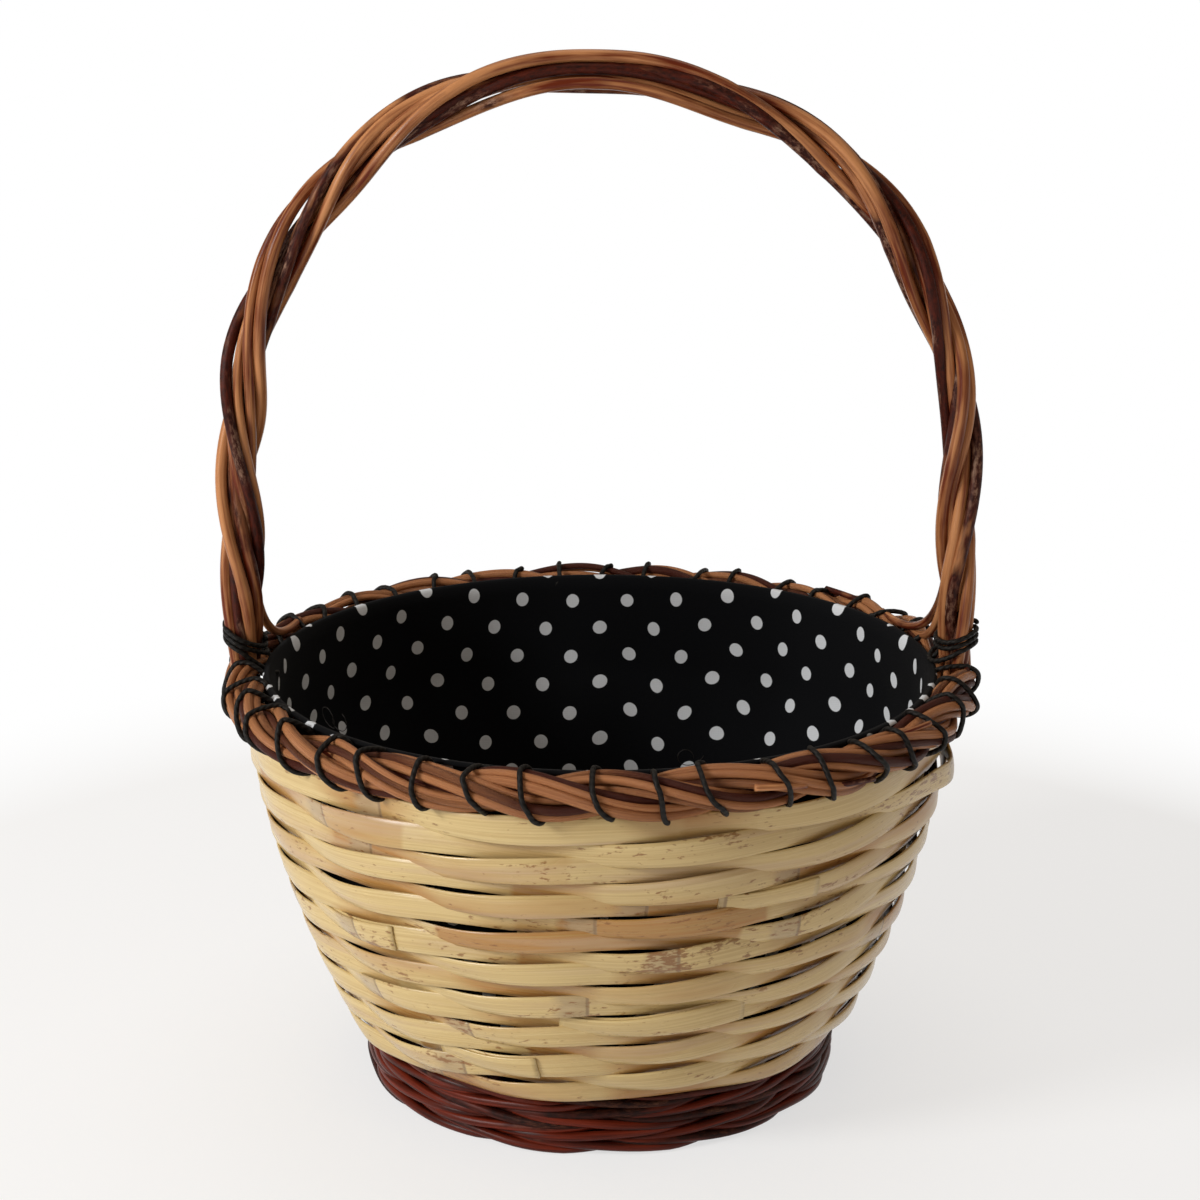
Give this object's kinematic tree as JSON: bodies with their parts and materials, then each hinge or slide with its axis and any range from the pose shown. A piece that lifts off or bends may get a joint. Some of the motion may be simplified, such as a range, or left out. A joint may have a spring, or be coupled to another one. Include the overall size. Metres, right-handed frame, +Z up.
{
  "type": "woven market basket",
  "caption": "Round flared market basket of split cane over willow stakes, with a waled willow foot, a twisted border, a dotted cotton lining and a fixed roped hoop handle.",
  "frame": {"origin": "centre of the foot's underside, on the floor", "axes": "+Z up; the handle's arch lies in the XZ plane; -Y is the front"},
  "size_m": [0.3264, 0.3272, 0.4324],
  "materials": {
    "split_cane": "satin",
    "willow_peeled": "satin",
    "willow_bark": "matte",
    "cotton_lining": "matte",
    "waxed_cord": "satin"
  },
  "bodies": {
    "root": {"base_round_1": "willow_bark", "base_round_2": "willow_bark", "base_round_3": "willow_bark", "base_stick_lower_1": "willow_bark", "base_stick_lower_2": "willow_bark", "base_stick_lower_3": "willow_bark", "base_stick_upper_1": "willow_bark", "base_stick_upper_2": "willow_bark", "base_stick_upper_3": "willow_bark", "base_stick_upper_4": "willow_bark", "border_core_back": "willow_bark", "border_core_front": "willow_bark", "border_rod_a1": "willow_bark", "border_rod_a2": "willow_peeled", "border_rod_b1": "willow_peeled", "border_rod_b2": "willow_bark", "border_stitches": "waxed_cord", "bow": "willow_peeled", "cane_row_01": "split_cane", "cane_row_02": "split_cane", "cane_row_03": "split_cane", "cane_row_04": "split_cane", "cane_row_05": "split_cane", "cane_row_06": "split_cane", "cane_row_07": "split_cane", "cane_row_08": "split_cane", "cane_row_09": "split_cane", "cane_row_10": "split_cane", "cane_row_11": "split_cane", "cane_row_12": "split_cane", "cane_row_13": "split_cane", "cane_row_14": "split_cane", "cane_row_15": "split_cane", "cane_row_16": "split_cane", "cane_row_17": "split_cane", "foot_wale_1": "willow_bark", "foot_wale_2": "willow_bark", "foot_wale_3": "willow_bark", "foot_wale_4": "willow_bark", "foot_wale_5": "willow_bark", "foot_wale_6": "willow_bark", "handle_rod_a1": "willow_peeled", "handle_rod_a2": "willow_bark", "handle_rod_b1": "willow_bark", "handle_rod_b2": "willow_peeled", "lashing_left": "waxed_cord", "lashing_right": "waxed_cord", "lining": "cotton_lining", "stake_01": "willow_bark", "stake_02": "willow_bark", "stake_03": "willow_bark", "stake_04": "willow_bark", "stake_05": "willow_bark", "stake_06": "willow_bark", "stake_08": "willow_bark", "stake_09": "willow_bark", "stake_10": "willow_bark", "stake_11": "willow_bark", "stake_12": "willow_bark", "stake_13": "willow_bark"}
  },
  "joints": []
}
